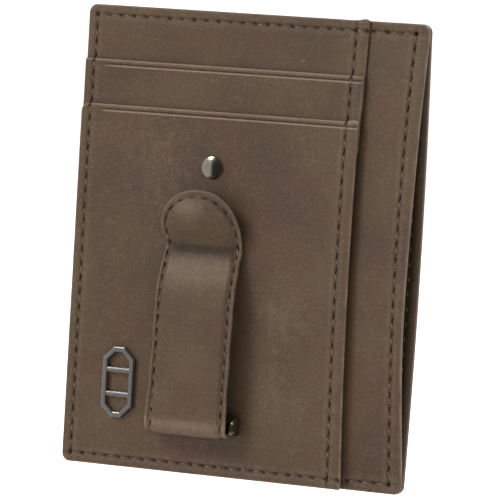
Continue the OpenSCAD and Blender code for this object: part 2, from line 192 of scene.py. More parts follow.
# ---------------- materials
class Nodes:
    """A node tree with short calls to add and join nodes."""

    def __init__(self, tree):
        self.tree = tree

    def link(self, source, target):
        """Sets an input to a number or a tuple, or joins it to another node's output."""
        if isinstance(source, (int, float)):
            target.default_value = source
        elif isinstance(source, (tuple, list)):
            target.default_value = (*source, 1) if target.type == "RGBA" else source
        else:
            self.tree.links.new(source, target)

    def add(self, kind, inputs=None, **settings):
        node = self.tree.nodes.new("ShaderNode" + kind)
        for name, value in settings.items():
            setattr(node, name, value)
        for name, source in (inputs or {}).items():
            self.link(source, node.inputs[name])
        return node

    def spread(self, value, low, high, to_low=0.0, to_high=1.0, curve="LINEAR"):
        inputs = {"Value": value, "From Min": low, "From Max": high,
                  "To Min": to_low, "To Max": to_high}
        return self.add("MapRange", inputs, interpolation_type=curve).outputs["Result"]

    def math(self, operation, a, b=0.0):
        return self.add("Math", {0: a, 1: b}, operation=operation).outputs[0]

    def mix(self, share, a, b):
        return self.add("Mix", {"Factor": share, 6: a, 7: b}, data_type="RGBA").outputs[2]


class Surface(Nodes):
    """A material. Its textures are placed in millimetres."""

    def __init__(self, name):
        self.material = bpy.data.materials.new(name)
        self.material.use_nodes = True
        super().__init__(self.material.node_tree)
        self.shader = self.tree.nodes["Principled BSDF"]
        coords = self.add("TexCoord")
        scaled = self.add("VectorMath", {0: coords.outputs["Object"], "Scale": 1 / MM},
                          operation="SCALE")
        self.place = scaled.outputs[0]

    def show(self, name, source):
        """Gives the shader's input of this name a value or another node's output."""
        self.link(source, self.shader.inputs[name])

    def noise(self, scale, detail=3.0, rough=0.55, stretch=None):
        place = self.place
        if stretch:
            place = self.add("Mapping", {"Vector": place, "Scale": stretch}).outputs[0]
        inputs = {"Vector": place, "Scale": scale, "Detail": detail, "Roughness": rough}
        return self.add("TexNoise", inputs).outputs["Fac"]

    def attribute(self, name):
        return self.add("Attribute", attribute_name=name).outputs["Fac"]

    def bump(self, height, distance_mm, strength):
        inputs = {"Strength": strength, "Distance": distance_mm * MM, "Height": height}
        self.show("Normal", self.add("Bump", inputs).outputs[0])


def floor_material():
    """White and glowing, a little brighter round the wallet's foot: a painted pool of light that
    softens the wallet's shadow on the floor and lights its lower edges.
    """
    n = Surface("floor")
    n.show("Base Color", (0.45, 0.45, 0.45))
    n.show("Roughness", 0.9)
    n.show("Specular IOR Level", 0.1)
    n.show("Emission Color", (1, 1, 1))
    away = n.add("VectorMath", {0: n.place}, operation="LENGTH").outputs["Value"]
    n.show("Emission Strength", n.spread(away, 40, 400, 1.5, 0.85))
    return n.material


LEATHER_COLOURS = (
    (0.065, 0.0402, 0.0200),  # olive
    (0.052, 0.0300, 0.0180),  # umber
    (0.070, 0.0312, 0.0180),  # russet
    (0.190, 0.137, 0.093),  # pale, where it is bent or rubbed, and for painted highlights
    (0.010, 0.006, 0.004),  # deep, painted shade in the seam holes, creases, folds and inside the pocket
)


def leather_material(name, tone=1.0, seed=0.0):
    """Pull-up leather: mottled brown, paler where it is bent or rubbed and where highlights are
    painted on, and darker with painted shade in its seams, creases and folds.
    """
    n = Surface(name)
    shift = (seed, seed * 1.7, seed * 0.6)
    n.place = n.add("VectorMath", {0: n.place, 1: shift}, operation="ADD").outputs[0]
    olive, umber, russet, pale, deep = (
        tuple(tone * c for c in colour) for colour in LEATHER_COLOURS)
    clouds = n.spread(n.noise(0.045, 4, 0.6), 0.38, 0.62)
    patches = n.spread(n.noise(0.11, 3, 0.5), 0.50, 0.75, 0, 0.6)
    colour = n.mix(clouds, olive, umber)
    colour = n.mix(patches, colour, russet)
    mottle = n.spread(n.noise(1.7, 4, 0.7), 0.3, 0.7, -0.16, 0.17)
    streaks = n.spread(n.noise(0.6, 3, 0.6, stretch=(0.3, 1.0, 1.0)), 0.55, 0.8, 0, 0.10)
    specks = n.spread(n.noise(1.1, 1, 0.4), 0.76, 0.82, 0, 0.35)
    marks = n.math("ADD", mottle, n.math("ADD", streaks, specks))
    # Paled where worn and where highlights are painted on; darkened where shade is painted on.
    wear_and_highlight_mix = n.math("ADD", n.attribute("wear_and_highlight"), marks)
    colour = n.mix(wear_and_highlight_mix, colour, pale)
    n.show("Base Color", n.mix(n.attribute("painted_shade"), colour, deep))
    pores = n.add("TexVoronoi", {"Vector": n.place, "Scale": 2.6}).outputs["Distance"]
    grain = n.noise(2.2, 4, 0.65)
    fine = n.noise(11.0, 2, 0.5)
    height = n.math("ADD", n.math("MULTIPLY", pores, 0.35), n.math("MULTIPLY", grain, 0.8))
    n.bump(n.math("ADD", height, n.math("MULTIPLY", fine, 0.25)), 0.11, 0.8)
    n.show("Roughness", n.spread(n.noise(0.7, 3, 0.6), 0.3, 0.7, 0.44, 0.58))
    n.show("Specular IOR Level", 0.28)
    return n.material


def thread_material():
    """Bonded thread with its plies showing as a slant."""
    n = Surface("thread")
    twist = n.noise(5.0, 2, 0.5)
    plies = n.spread(twist, 0.35, 0.65)
    n.show("Base Color", n.mix(plies, (0.068, 0.044, 0.025), (0.200, 0.142, 0.090)))
    n.bump(twist, 0.06, 0.7)
    n.show("Roughness", n.spread(n.noise(2.0), 0.3, 0.7, 0.42, 0.55))
    n.show("Specular IOR Level", 0.3)
    return n.material


def lining_material():
    """Dark twill cloth: slanted bands of yarn, with a paler bloom in places."""
    n = Surface("lining")
    wave = n.add("TexWave", {"Vector": n.place, "Scale": 0.9, "Distortion": 0.25},
                 wave_type="BANDS", bands_direction="DIAGONAL")
    yarn = wave.outputs["Fac"]
    colour = n.mix(yarn, (0.009, 0.008, 0.007), (0.021, 0.018, 0.015))
    bloom = n.spread(n.noise(0.3), 0.4, 0.7, 0, 0.4)
    n.show("Base Color", n.mix(bloom, colour, (0.026, 0.022, 0.018)))
    n.bump(yarn, 0.08, 0.8)
    n.show("Roughness", n.spread(yarn, 0, 1, 0.9, 0.75))
    return n.material


def metal_material(name, colour, rough, brush=(1, 1, 1), scuff=0.12):
    """Metal with fine brushing along one axis and faint scuffs."""
    n = Surface(name)
    lines = n.noise(6.0, 3, 0.6, stretch=brush)
    spots = n.noise(0.8, 4, 0.6)
    dull = tuple(c * 0.72 for c in colour)
    n.show("Base Color", n.mix(n.spread(spots, 0.4, 0.7, 0, 0.6), colour, dull))
    n.show("Metallic", 1.0)
    both = n.math("ADD", lines, spots)
    n.show("Roughness", n.spread(both, 0.7, 1.3, rough - scuff / 2, rough + scuff))
    n.bump(lines, 0.012, 0.35)
    return n.material


# ---------------- mesh helpers
def smoothstep(low, high, v):
    """0 below low, 1 above high, and eased between them."""
    t = np.clip((v - low) / (high - low), 0, 1)
    return t * t * (3 - 2 * t)


def bell(v, width):
    """1 where v is 0, falling smoothly to about 0 at twice the width."""
    return np.exp(-(v / width) ** 2)


def patch(x, wide, z, tall):
    """A bell both ways."""
    return bell(x, wide) * bell(z, tall)


def make_piece(name, points_mm, faces, material, body, replaced=(), slot=None, fields=None,
               sharp_deg=50):
    """A mesh object from points in millimetres, smooth but for edges sharper than sharp_deg."""
    mesh = bpy.data.meshes.new(name)
    mesh.from_pydata((np.asarray(points_mm) * MM).tolist(), [], [list(f) for f in faces])
    mesh.validate()
    mesh.polygons.foreach_set("use_smooth", [True] * len(mesh.polygons))
    mesh.set_sharp_from_angle(angle=math.radians(sharp_deg))
    for field, values in (fields or {}).items():
        mesh.attributes.new(field, "FLOAT", "POINT").data.foreach_set(
            "value", np.asarray(values, float).ravel())
    mesh.materials.append(material)
    piece = bpy.data.objects.new(name, mesh)
    bpy.context.scene.collection.objects.link(piece)
    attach(piece, body)
    if replaced:
        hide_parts(*replaced)
    return piece


def ripple(x, z, wavelength, seed):
    """Smooth unevenness between about -1 and 1."""
    waves = np.random.default_rng(seed)
    total = np.zeros_like(x)
    for _ in range(7):
        angle = waves.uniform(0, TAU)
        length = wavelength * waves.uniform(0.7, 1.6)
        phase = waves.uniform(0, TAU)
        total += np.sin((x * math.cos(angle) + z * math.sin(angle)) * TAU / length + phase)
    return total / 3.2


def bow_share(x, z):
    """How far a leaf stands out of its flat shape, as a share of its bow."""
    side = np.clip(x, 0, None) / HALF_W
    level = (z - WALLET_H / 2) / (WALLET_H / 2 - SEAM_INSET)
    inside = np.clip(1 - level * level, 0, None)
    soft = inside * inside / (inside + 0.03)  # eases the bow in at the seams
    return side ** 2 * (1.6 - 0.6 * side ** 2) * soft


# For seams along x and along z: a slit's slant in degrees, half length, half width, and how far
# it lies past its hole's place.
SLITS = ((-30, 0.52, 0.27, -0.1), (7, 0.95, 0.15, 0.35))
GROOVE_HALF_W = 0.34
GROOVE_DEPTH = 0.13
SLIT_DEPTH = 0.42


class Seam:
    """A straight row of stitches. along is 0 for a seam along x and 1 for a seam along z."""

    def __init__(self, along, at, low, high):
        self.along = along
        self.at = at
        self.low = low
        self.count = max(1, round((high - low) / (PITCH, UPRIGHT_PITCH)[along]))
        self.pitch = (high - low) / self.count
        self.high = high
        self.uneven = rng.uniform(0.7, 1.25, self.count + 1)
        self.depth = rng.uniform(0.6, 1.0, self.count + 1)

    def relief(self, x, z):
        """(groove, hole): how deep the seam presses the leather, each from 0 to 1."""
        run, across = (x, z) if self.along == 0 else (z, x)
        off = across - self.at
        inside = smoothstep(self.low - 0.7, self.low - 0.2, run)
        inside = inside * (1 - smoothstep(self.high + 0.2, self.high + 0.7, run))
        index = np.clip(np.round((run - self.low) / self.pitch), 0, self.count).astype(int)
        phase = run - self.low - self.pitch * index
        slant, long, wide, past = SLITS[self.along]
        slant = math.radians(slant)
        u = (phase - past) * math.cos(slant) + off * math.sin(slant)
        v = -(phase - past) * math.sin(slant) + off * math.cos(slant)
        groove = bell(off, GROOVE_HALF_W) * inside
        hole = np.exp(-(u / (long * self.uneven[index])) ** 4 - (v / wide) ** 4)
        return groove, hole * inside * self.depth[index]

    def stations(self):
        """The x and z of each hole."""
        run = self.low + self.pitch * np.arange(self.count + 1)
        across = np.full_like(run, self.at)
        return np.stack([run, across] if self.along == 0 else [across, run], 1)


def edge_round(d, r):
    """How far a rounded edge of radius r falls away at distance d from the outline."""
    inset = np.clip(r - d, 0, r)
    return r - np.sqrt(np.clip(r * r - inset * inset, 0, None))


EDGE_LINES = np.array([0, 0.03, 0.08, 0.16, 0.28, 0.42])


def grid_lines(low, high, step, seams=(), coarse=None):
    """Grid positions from low to high: closer at both ends and beside seams, and wider apart than
    step inside the coarse range, given as (low, high, step)."""
    edge = EDGE_LINES[-1]
    count = max(2, round((high - low - 2 * edge) / step))
    inner = np.linspace(low + edge, high - edge, count + 1)[1:-1]
    if coarse:
        keep = (inner < coarse[0]) | (inner > coarse[1])
        wide = np.arange(coarse[0], coarse[1], coarse[2])
        inner = np.sort(np.concatenate([inner[keep], wide]))
    for at in seams:
        near = np.abs(inner - at) < 0.62
        inner = np.sort(np.concatenate([inner[~near], at + np.arange(-0.56, 0.57, 0.14)]))
    return np.concatenate([low + EDGE_LINES, inner, high - EDGE_LINES[::-1]])


def outline_distance(x, z, box, radii):
    """Distance inside a rounded rectangle. radii are (left, right) corner radii."""
    cx, cz = (box[0] + box[1]) / 2, (box[2] + box[3]) / 2
    r = np.where(x < cx, radii[0], radii[1])
    qx = np.abs(x - cx) - ((box[1] - box[0]) / 2 - r)
    qz = np.abs(z - cz) - ((box[3] - box[2]) / 2 - r)
    outside = np.hypot(np.clip(qx, 0, None), np.clip(qz, 0, None))
    return r - outside - np.minimum(np.maximum(qx, qz), 0)


def shell_faces(nx, nz, back_x, back_z, flip):
    """Faces of a closed sheet: a dense face grid, a coarser back grid that uses some of its lines,
    and a wall that joins the two round the edge."""
    i, j = np.meshgrid(np.arange(nx - 1), np.arange(nz - 1))
    a = (j * nx + i).ravel()
    faces = np.stack([a, a + 1, a + nx + 1, a + nx], 1).tolist()
    mx, mz = len(back_x), len(back_z)
    start = nx * nz
    i, j = np.meshgrid(np.arange(mx - 1), np.arange(mz - 1))
    b = (start + j * mx + i).ravel()
    faces += np.stack([b, b + mx, b + mx + 1, b + 1], 1).tolist()

    def wall(front_ids, back_ids, stops):
        for k in range(len(stops) - 1):
            run = [front_ids[m] for m in range(stops[k], stops[k + 1] + 1)]
            faces.append(run[::-1] + [back_ids[k], back_ids[k + 1]])

    top = nz - 1
    wall(list(range(nx)), [start + m for m in range(mx)], back_x)
    wall([m * nx + nx - 1 for m in range(nz)], [start + m * mx + mx - 1 for m in range(mz)],
         back_z)
    wall([top * nx + nx - 1 - m for m in range(nx)],
         [start + (mz - 1) * mx + mx - 1 - m for m in range(mx)],
         [nx - 1 - m for m in back_x[::-1]])
    wall([(top - m) * nx for m in range(nz)],
         [start + (mz - 1 - m) * mx for m in range(mz)],
         [nz - 1 - m for m in back_z[::-1]])
    if flip:
        faces = [f[::-1] for f in faces]
    return faces


def every(count, step):
    """Each step-th index up to count, and the last one."""
    return sorted({*range(0, count, step), count - 1})


class Sheet:
    """One panel of leather or cloth that follows its leaf.

    box is (x low, x high, z low, z high). base is the face's distance behind the front leaf's
    face, out is -1 where the face looks forward and 1 where it looks back. radii are the left and
    right corners'. rim is the turned edge's extra thickness on the other side, and
    inner_tone paints shade on that side inside the edge, for the dark inside the pocket.

    seams press grooves in the face and back_seams in the other side. creases are (height, from x,
    to x) and folds (x, from z, to z). bumps are (x, width, rise) at the top and bottom edges.
    rubs are (x, z, width, height, amount): paler rubbed patches, or painted shadow where
    the amount is below 0. trim is (height, reach, amount) by which the right edge is cut back.
    """

    def __init__(self, box, base, out, bow, thickness, radii=(0.4, 0.4), seams=(), creases=(),
                 rim=0.0, step=0.32, coarse=None, seed=1, soft=0.05, bumps=(), plump=0.10,
                 back_step=3, edge_r=0.3, back_seams=(), folds=(), inner_tone=0.0, rubs=(),
                 trim=(0, 1, 0)):
        self.box, self.base, self.out, self.bow = box, base, out, bow
        self.thickness, self.radii, self.seams, self.creases = thickness, radii, seams, creases
        self.rim, self.seed, self.soft, self.bumps, self.plump = rim, seed, soft, bumps, plump
        self.edge_r, self.back_seams, self.folds = edge_r, back_seams, folds
        self.inner_tone, self.rubs, self.trim = inner_tone, rubs, trim
        upright = [s.at for s in seams if s.along == 1]
        level = [s.at for s in seams if s.along == 0] + [c[0] for c in creases]
        self.xs = grid_lines(box[0], box[1], step, upright, coarse)
        self.zs = grid_lines(box[2], box[3], step, level)
        self.back_x, self.back_z = every(len(self.xs), back_step), every(len(self.zs), back_step)

    def level(self, x, z):
        """The y of the sheet's plain face, without relief."""
        return FACE_Y + self.base + self.bow * bow_share(x, z)

    def place(self):
        """The face grid's x and z, drawn in round the corners and pushed out over the bumps."""
        x, z = np.meshgrid(self.xs, self.zs)
        x0, x1, z0, z1 = self.box
        dz = np.minimum(z - z0, z1 - z)
        left, right = self.radii
        span = 2.4
        share = np.clip(1 - (x - x0) / (span * left), 0, 1)
        x = x + edge_round(dz, left) * share
        share = np.clip(1 - (x1 - x) / (span * right), 0, 1)
        x = x - edge_round(dz, right) * share
        for at, width, rise in self.bumps:
            near = bell(x - at, width)
            z = z + near * rise * (smoothstep(z1 - 3, z1, z) - 0.3 * (1 - smoothstep(z0, z0 + 3, z)))
        return x, z

    def trimmed(self, x, z):
        """x, with the right edge cut back a little round one height."""
        at, tall, amount = self.trim
        near = bell(z - at, tall)
        return x - amount * near * smoothstep(self.box[1] - 3, self.box[1], x)

    def relief(self, x, z):
        """(height above the plain face, paleness from wear and painted highlights, painted shade)
        over the sheet.
        """
        top = self.box[3]
        d = np.clip(outline_distance(x, z, self.box, self.radii), 0, None)
        height = -edge_round(d, self.edge_r)
        height += self.soft * ripple(x, z, 26, self.seed) * smoothstep(0, 6, d)
        height += 0.018 * ripple(x, z, 5, self.seed + 1) * smoothstep(0.2, 2, d)
        # Paler along the outline: edge wear, and a painted highlight where the rounded edge faces
        # the light.
        wear_and_highlight = 0.55 * bell(d, 0.28) * (1 + 0.4 * ripple(x, z, 9, self.seed + 2))
        painted_shade = np.zeros_like(x)
        for seam in self.seams:
            groove, hole = seam.relief(x, z)
            across = z if seam.along == 0 else x
            beside = bell(np.abs(across - seam.at) - 1.0, 0.45)
            height = height - GROOVE_DEPTH * groove - SLIT_DEPTH * hole + 0.03 * beside
            # Paler beside the seam, and painted shade in its holes and groove.
            wear_and_highlight += 0.10 * beside
            painted_shade = np.maximum(painted_shade, np.maximum(hole, 0.32 * groove))
        border = np.clip(d / (SEAM_INSET - 0.5), 0, 1)
        height += self.plump * np.sin(math.pi * border) * (d < SEAM_INSET)
        for at, low, high in self.creases:
            span = smoothstep(low, low + 3, x) * (1 - smoothstep(high - 0.5, high, x))
            line = bell(z - at, 0.17) * span
            height -= 0.17 * line
            # Painted shade along the crease line.
            painted_shade = np.maximum(painted_shade, 0.6 * bell(z - at - 0.14, 0.18) * span)
            # A painted highlight just below the crease, where its lower wall faces up to the light.
            wear_and_highlight += 0.95 * bell(z - at + 0.25, 0.16) * span
            rolled = bell(z - at - 0.7, 0.35) * span
            height += 0.08 * rolled
            # A little paler on the rolled band, and a painted highlight along the slot's top edge,
            # which faces up to the light.
            wear_and_highlight = wear_and_highlight + 0.12 * rolled + 0.75 * bell(top - z, 0.28)
        for at, low, high in self.folds:
            line = bell(x - at, 0.22) * (z > low) * (z < high)
            height -= 0.14 * line
            # Painted shade along the fold.
            painted_shade = np.maximum(painted_shade, 0.35 * line)
        # Rubs pale the leather; a negative amount paints shadow instead.
        for at_x, at_z, wide, tall, amount in self.rubs:
            rub = amount * patch(x - at_x, wide, z - at_z, tall)
            wear_and_highlight += rub * (1 + 0.5 * ripple(x, z, 4, self.seed + 3))
            painted_shade = np.maximum(painted_shade, -rub)
        return height, np.clip(wear_and_highlight, 0, 1), painted_shade

    def build(self, name, material, body, replaced=(), slot=None):
        """Makes the sheet's piece: its face, its other side and the edge between them."""
        x, z = self.place()
        height, wear_and_highlight, painted_shade = self.relief(x, z)
        y = self.level(x, z) + self.out * height
        front = np.stack([self.trimmed(x, z), y, z], 2).reshape(-1, 3)
        kept = np.ix_(self.back_z, self.back_x)
        bx, bz = x[kept], z[kept]
        d = np.clip(outline_distance(bx, bz, self.box, self.radii), 0, None)
        depth = self.thickness - edge_round(d, min(self.edge_r, self.thickness * 0.45))
        if self.rim:
            depth += self.rim * (1 - smoothstep(TURNED_W - 0.4, TURNED_W + 0.2, d))
        # On the other side, painted shade inside the edge, for the dark inside of the pocket.
        back_painted_shade = self.inner_tone * smoothstep(1.5, 2.1, d)
        # Paler along the outline on this side too.
        back_wear_and_highlight = 0.25 * bell(d, 0.4)
        # Where shade is painted inside, the band at the edge is painted lighter, as if lit.
        if self.inner_tone:
            back_wear_and_highlight += 0.2 * (1 - smoothstep(1.2, 2, d))
        for seam in self.back_seams:
            groove, hole = seam.relief(bx, bz)
            depth = depth - 0.1 * groove - 0.15 * hole
            # Painted shade in the holes of seams on this side.
            back_painted_shade = np.maximum(back_painted_shade, 0.7 * hole)
        back = np.stack([self.trimmed(bx, bz), self.level(bx, bz) - self.out * depth, bz], 2)
        back = back.reshape(-1, 3)
        faces = shell_faces(len(self.xs), len(self.zs), self.back_x, self.back_z, self.out > 0)
        fields = {
            "wear_and_highlight": np.concatenate([wear_and_highlight.ravel(), back_wear_and_highlight.ravel()]),
            "painted_shade": np.concatenate([painted_shade.ravel(), back_painted_shade.ravel()]),
        }
        return make_piece(name, np.concatenate([front, back]), faces, material, body,
                          replaced, slot, fields)


def tube_faces(rings, sides):
    """Faces of a tube of rings of points, closed at both ends."""
    faces = []
    for k in range(rings - 1):
        for m in range(sides):
            n = (m + 1) % sides
            faces.append([k * sides + m, k * sides + n, (k + 1) * sides + n, (k + 1) * sides + m])
    return faces + [list(range(sides))[::-1], [(rings - 1) * sides + m for m in range(sides)]]


TUBE_SIDES = 8


def sweep(path, side, out, half_w, half_h):
    """A tube along a path, with an oval section."""
    turn = np.arange(TUBE_SIDES) * TAU / TUBE_SIDES
    rings = (path[:, None, :]
             + side[:, None, :] * (np.cos(turn)[None, :, None] * half_w[:, None, None])
             + out[:, None, :] * (np.sin(turn)[None, :, None] * half_h[:, None, None]))
    return rings.reshape(-1, 3), tube_faces(len(path), TUBE_SIDES)


def join_parts(parts):
    """One list of points and one of faces from several."""
    points, faces, start = [], [], 0
    for part_points, part_faces in parts:
        points.append(part_points)
        faces += [[v + start for v in f] for f in part_faces]
        start += len(part_points)
    return np.concatenate(points), faces


STITCH_RINGS = 9
STITCH_HALF_W = 0.14
STITCH_SINK = 0.5
STITCH_LEANS = (0.1, 0.2)  # across the seam, for seams along x and along z


def stitch(a, b, out, lean):
    """One stitch, proud beside hole a, that leans across the seam and sinks towards hole b."""
    t = np.linspace(0, 1, STITCH_RINGS)
    run = b - a
    length = np.linalg.norm(run)
    run = run / length
    side = np.cross(run, out)
    bend = np.interp(t, [0, 0.1, 0.2, 0.4, 0.7, 1], [0, 0.9, 1, 0.62, 0.3, 0])
    height = STITCH_SINK * (bend - 1)
    across = lean * (1 - 2 * t)
    path = (a[None] + run[None] * (length * (0.13 + 0.74 * t))[:, None]
            + out[None] * height[:, None] + side[None] * across[:, None])
    tip = 0.55 + 0.45 * np.sin(math.pi * np.clip(t, 0.02, 0.98)) ** 0.5
    wide = STITCH_HALF_W * tip
    ones = np.ones((STITCH_RINGS, 1))
    return sweep(path, ones * side[None], ones * out[None], wide, wide * 0.8)


def seam_stitches(sheet, seam, back=False):
    """The stitches of a seam on a sheet's face, or on its other side."""
    out = np.array([0.0, sheet.out * (-1 if back else 1), 0.0])
    depth = (sheet.thickness + sheet.rim) if back else 0.0
    marks = seam.stations()
    y = sheet.level(marks[:, 0], marks[:, 1]) - sheet.out * depth
    points = np.stack([marks[:, 0], y, marks[:, 1]], 1)
    points += rng.normal(0, 0.04, points.shape) * np.array([1, 0, 1])
    if seam.along == 1:
        points = points[::-1]
    lean = STITCH_LEANS[seam.along]
    return [stitch(points[k], points[k + 1], out, lean=lean + rng.normal(0, 0.03))
            for k in range(len(points) - 1)]


# ---------------- the two leaves and the slots
SEAM_X = HALF_W - SEAM_INSET
SEAM_TOP = WALLET_H - SEAM_INSET
MOUTH_X = HALF_W - MOUTH_INSET
BACK_MOUTH_X = HALF_W - BACK_MOUTH_INSET
HEM_X = STACK_X - HEM_INSET
CREASE_DROP = 1.25


def wallet_leather():
    """The leather panels and the thread in their seams."""
    top_right = Seam(0, SEAM_TOP, STACK_X + 0.7, MOUTH_X)
    bottom_right = Seam(0, SEAM_INSET, STACK_X + 0.7, MOUTH_X)
    mouth = Seam(1, MOUTH_X, SEAM_INSET, SEAM_TOP)
    leaf = (-HALF_W, HALF_W, 0, WALLET_H)
    front = Sheet(leaf, 0, -1, FRONT_BOW, LEATHER_T,
                  (CORNER_R, CORNER_R), [top_right, bottom_right, mouth], rim=TURNED_T,
                  coarse=(-HALF_W + 1.5, STACK_X - 3, 1.6), seed=11, soft=0.06, back_seams=[mouth],
                  trim=(34, 24, 0.6))
    left = Seam(1, -SEAM_X, SEAM_INSET, SEAM_TOP)
    back_top = Seam(0, SEAM_TOP, -SEAM_X, BACK_MOUTH_X)
    back_bottom = Seam(0, SEAM_INSET, -SEAM_X, BACK_MOUTH_X)
    back_mouth = Seam(1, BACK_MOUTH_X, SEAM_INSET, SEAM_TOP)
    back = Sheet(leaf, 2 * LEAF_T, 1, BACK_BOW, LEATHER_T,
                 (CORNER_R, CORNER_R), [left, back_top, back_bottom, back_mouth], rim=TURNED_T,
                 seed=23, step=0.42, soft=0.08, back_seams=[back_mouth], inner_tone=0.65)

    spans = [(SEAM_INSET, LOWER_EDGE_Z - 0.3), (LOWER_EDGE_Z + 0.5, UPPER_EDGE_Z - 0.3),
             (UPPER_EDGE_Z + 0.5, SEAM_TOP)]
    left_low, left_mid, left_top = [Seam(1, -SEAM_X, *span) for span in spans]
    hem_low, hem_mid, hem_top = [Seam(1, HEM_X, *span) for span in spans]
    stack_bottom = Seam(0, SEAM_INSET, -SEAM_X, STACK_X - 0.5)
    stack_top = Seam(0, SEAM_TOP, -SEAM_X, STACK_X - 0.5)
    upper_crease, lower_crease = [(z - CREASE_DROP, -HALF_W + 4, STACK_X - 0.2)
                                  for z in (UPPER_EDGE_Z, LOWER_EDGE_Z)]
    hidden = 8.0  # how far the top panel reaches down behind the upper slot
    hem_bump = (STACK_X - 1.2, 1.3, 0.38)
    top_panel = Sheet((-HALF_W, STACK_X - 0.12, UPPER_EDGE_Z - hidden, WALLET_H), STACK_BACK_FACE,
                      -1, FRONT_BOW, POCKET_T, (CORNER_R, 0.5), [left_top, hem_top, stack_top],
                      seed=31, bumps=[hem_bump], soft=0.03,
                      folds=[(HEM_X, SEAM_TOP, WALLET_H)])
    upper_panel = Sheet((-HALF_W, STACK_X - 0.03, LOWER_EDGE_Z - 7, UPPER_EDGE_Z), UPPER_FACE,
                        -1, FRONT_BOW, POCKET_T, (0.4, 0.5), [left_mid, hem_mid], [upper_crease],
                        seed=37, soft=0.03)
    lower_panel = Sheet((-HALF_W, STACK_X, 0, LOWER_EDGE_Z), LOWER_FACE, -1, FRONT_BOW, POCKET_T,
                        (CORNER_R, 0.6), [left_low, hem_low, stack_bottom], [lower_crease],
                        seed=41, soft=0.05, bumps=[hem_bump],
                        # The last rub is a painted shadow beside the clip's strap, where the key
                        # light is blocked.
                        rubs=[(10, 37, 7, 5, 0.14), (-20, 68, 7, 12, 0.10), (9, 20, 6, 7, 0.10),
                              (2.6, 30, 3.0, 14, -0.17)],
                        folds=[(HEM_X, 0, SEAM_INSET)])

    front_hide = leather_material("leather_front", seed=3.0)
    slot_hide = leather_material("leather_slots", seed=9.0)
    back_hide = leather_material("leather_back", seed=21.0)
    for sheet, name, hide, node in (
            (front, "front_leaf_leather", front_hide, "front_panel"),
            (back, "back_leaf_leather", back_hide, "back_panel"),
            (top_panel, "top_slot_leather", slot_hide, "stack_back_panel"),
            (upper_panel, "upper_slot_leather", front_hide, "upper_pocket_panel"),
            (lower_panel, "lower_slot_leather", slot_hide, "lower_pocket_panel")):
        sheet.build(name, hide, "wallet", [node], "leather")

    thread = thread_material()
    runs = [(lower_panel, left_low), (upper_panel, left_mid), (top_panel, left_top),
            (lower_panel, stack_bottom), (top_panel, stack_top), (front, top_right),
            (front, bottom_right), (back, left), (back, back_top), (back, back_bottom)]
    groups = {
        "perimeter_thread": (runs, "perimeter_stitching"),
        "hem_thread": ([(lower_panel, hem_low), (upper_panel, hem_mid), (top_panel, hem_top)],
                       "stack_hem_stitching"),
        "front_mouth_thread": ([(front, mouth), (front, mouth, True)], "front_mouth_stitching"),
        "back_mouth_thread": ([(back, back_mouth), (back, back_mouth, True)],
                              "back_mouth_stitching"),
    }
    for name, (rows, node) in groups.items():
        parts = []
        for row in rows:
            parts += seam_stitches(*row)
        make_piece(name, *join_parts(parts), thread, "wallet", [node], "thread")


def linings():
    """Cloth glued flat to the leather inside the pocket and the slots."""
    cloth = lining_material()
    inset = TURNED_W + 0.2
    inside = (-HALF_W + inset, HALF_W - inset, inset, WALLET_H - inset)
    sheets = {
        "front_lining": (inside, LEAF_T - TURNED_T + 0.30, 1, FRONT_BOW, "front_leaf_leather"),
        "back_lining": (inside, 2 * LEAF_T - LEATHER_T - 0.30, -1, BACK_BOW, "back_leaf_leather"),
        "stack_lining": ((-HALF_W + 0.3, STACK_X - 1, 0.3, UPPER_EDGE_Z - 8.1), -0.35, -1,
                         FRONT_BOW, "front_leaf_leather"),
        "upper_pocket_lining": ((-HALF_W + 0.3, STACK_X - 1, 12, LOWER_EDGE_Z - 7.2), -0.9, -1,
                                FRONT_BOW, "stack_lining_cloth"),
    }
    for name, (box, base, out, bow, leather_name) in sheets.items():
        sheet = Sheet(box, base, out, bow, 0.25, (0.3, 0.3), step=1.4, seed=len(name),
                      soft=0.02, plump=0, back_step=2, edge_r=0.08)
        piece = sheet.build(name + "_cloth", cloth, "wallet", [name], "lining")


# ---------------- the money clip
CLIP_KEYS = np.array([
    [HINGE_H, HINGE_Z - 1.95],
    [HINGE_H + 3.3, HINGE_Z - 1.95],
    [4.55, 41.5],
    [0.5, 52.0],
    [4.9, 58.8],
    [5.3, TIP_Z],
])
CLIP_REACH = [1.7, 4.0, 2.6, 3.0]  # how far each bend reaches from its key
CLIP_STEP = 0.3  # between points of the middle line
CREASE_Z = 52.0
NECK_Z = 52.5
WAIST_Z = 48.8


def clip_middle_line():
    """The steel's middle line as evenly spaced [distance from the leather, height] points, the
    direction out of it at each, and the distance run."""
    points = [CLIP_KEYS[0]]
    for k in range(1, len(CLIP_KEYS) - 1):
        p, q, r = CLIP_KEYS[k - 1:k + 2]
        back, ahead = np.linalg.norm(p - q), np.linalg.norm(r - q)
        start = q + (p - q) / back * min(CLIP_REACH[k - 1], back / 2)
        end = q + (r - q) / ahead * min(CLIP_REACH[k - 1], ahead / 2)
        for t in np.linspace(0, 1, 16):
            points.append((1 - t) ** 2 * start + 2 * t * (1 - t) * q + t * t * end)
    points.append(CLIP_KEYS[-1])
    points = np.array(points)
    run = np.concatenate([[0], np.cumsum(np.linalg.norm(np.diff(points, axis=0), axis=1))])
    even = np.linspace(0, run[-1], round(run[-1] / CLIP_STEP) + 1)
    line = np.stack([np.interp(even, run, points[:, 0]), np.interp(even, run, points[:, 1])], 1)
    slope = np.gradient(line, axis=0)
    slope = slope / np.linalg.norm(slope, axis=1)[:, None]
    return line, np.stack([slope[:, 1], -slope[:, 0]], 1), even


def clip_half_width(z):
    """Half the strap's width, which narrows round the lip."""
    lip = np.clip((z - LIP_Z) / LIP_RY, 0, 1)
    return CLIP_HALF_W * np.sqrt(np.clip(1 - lip * lip, 1e-4, 1))


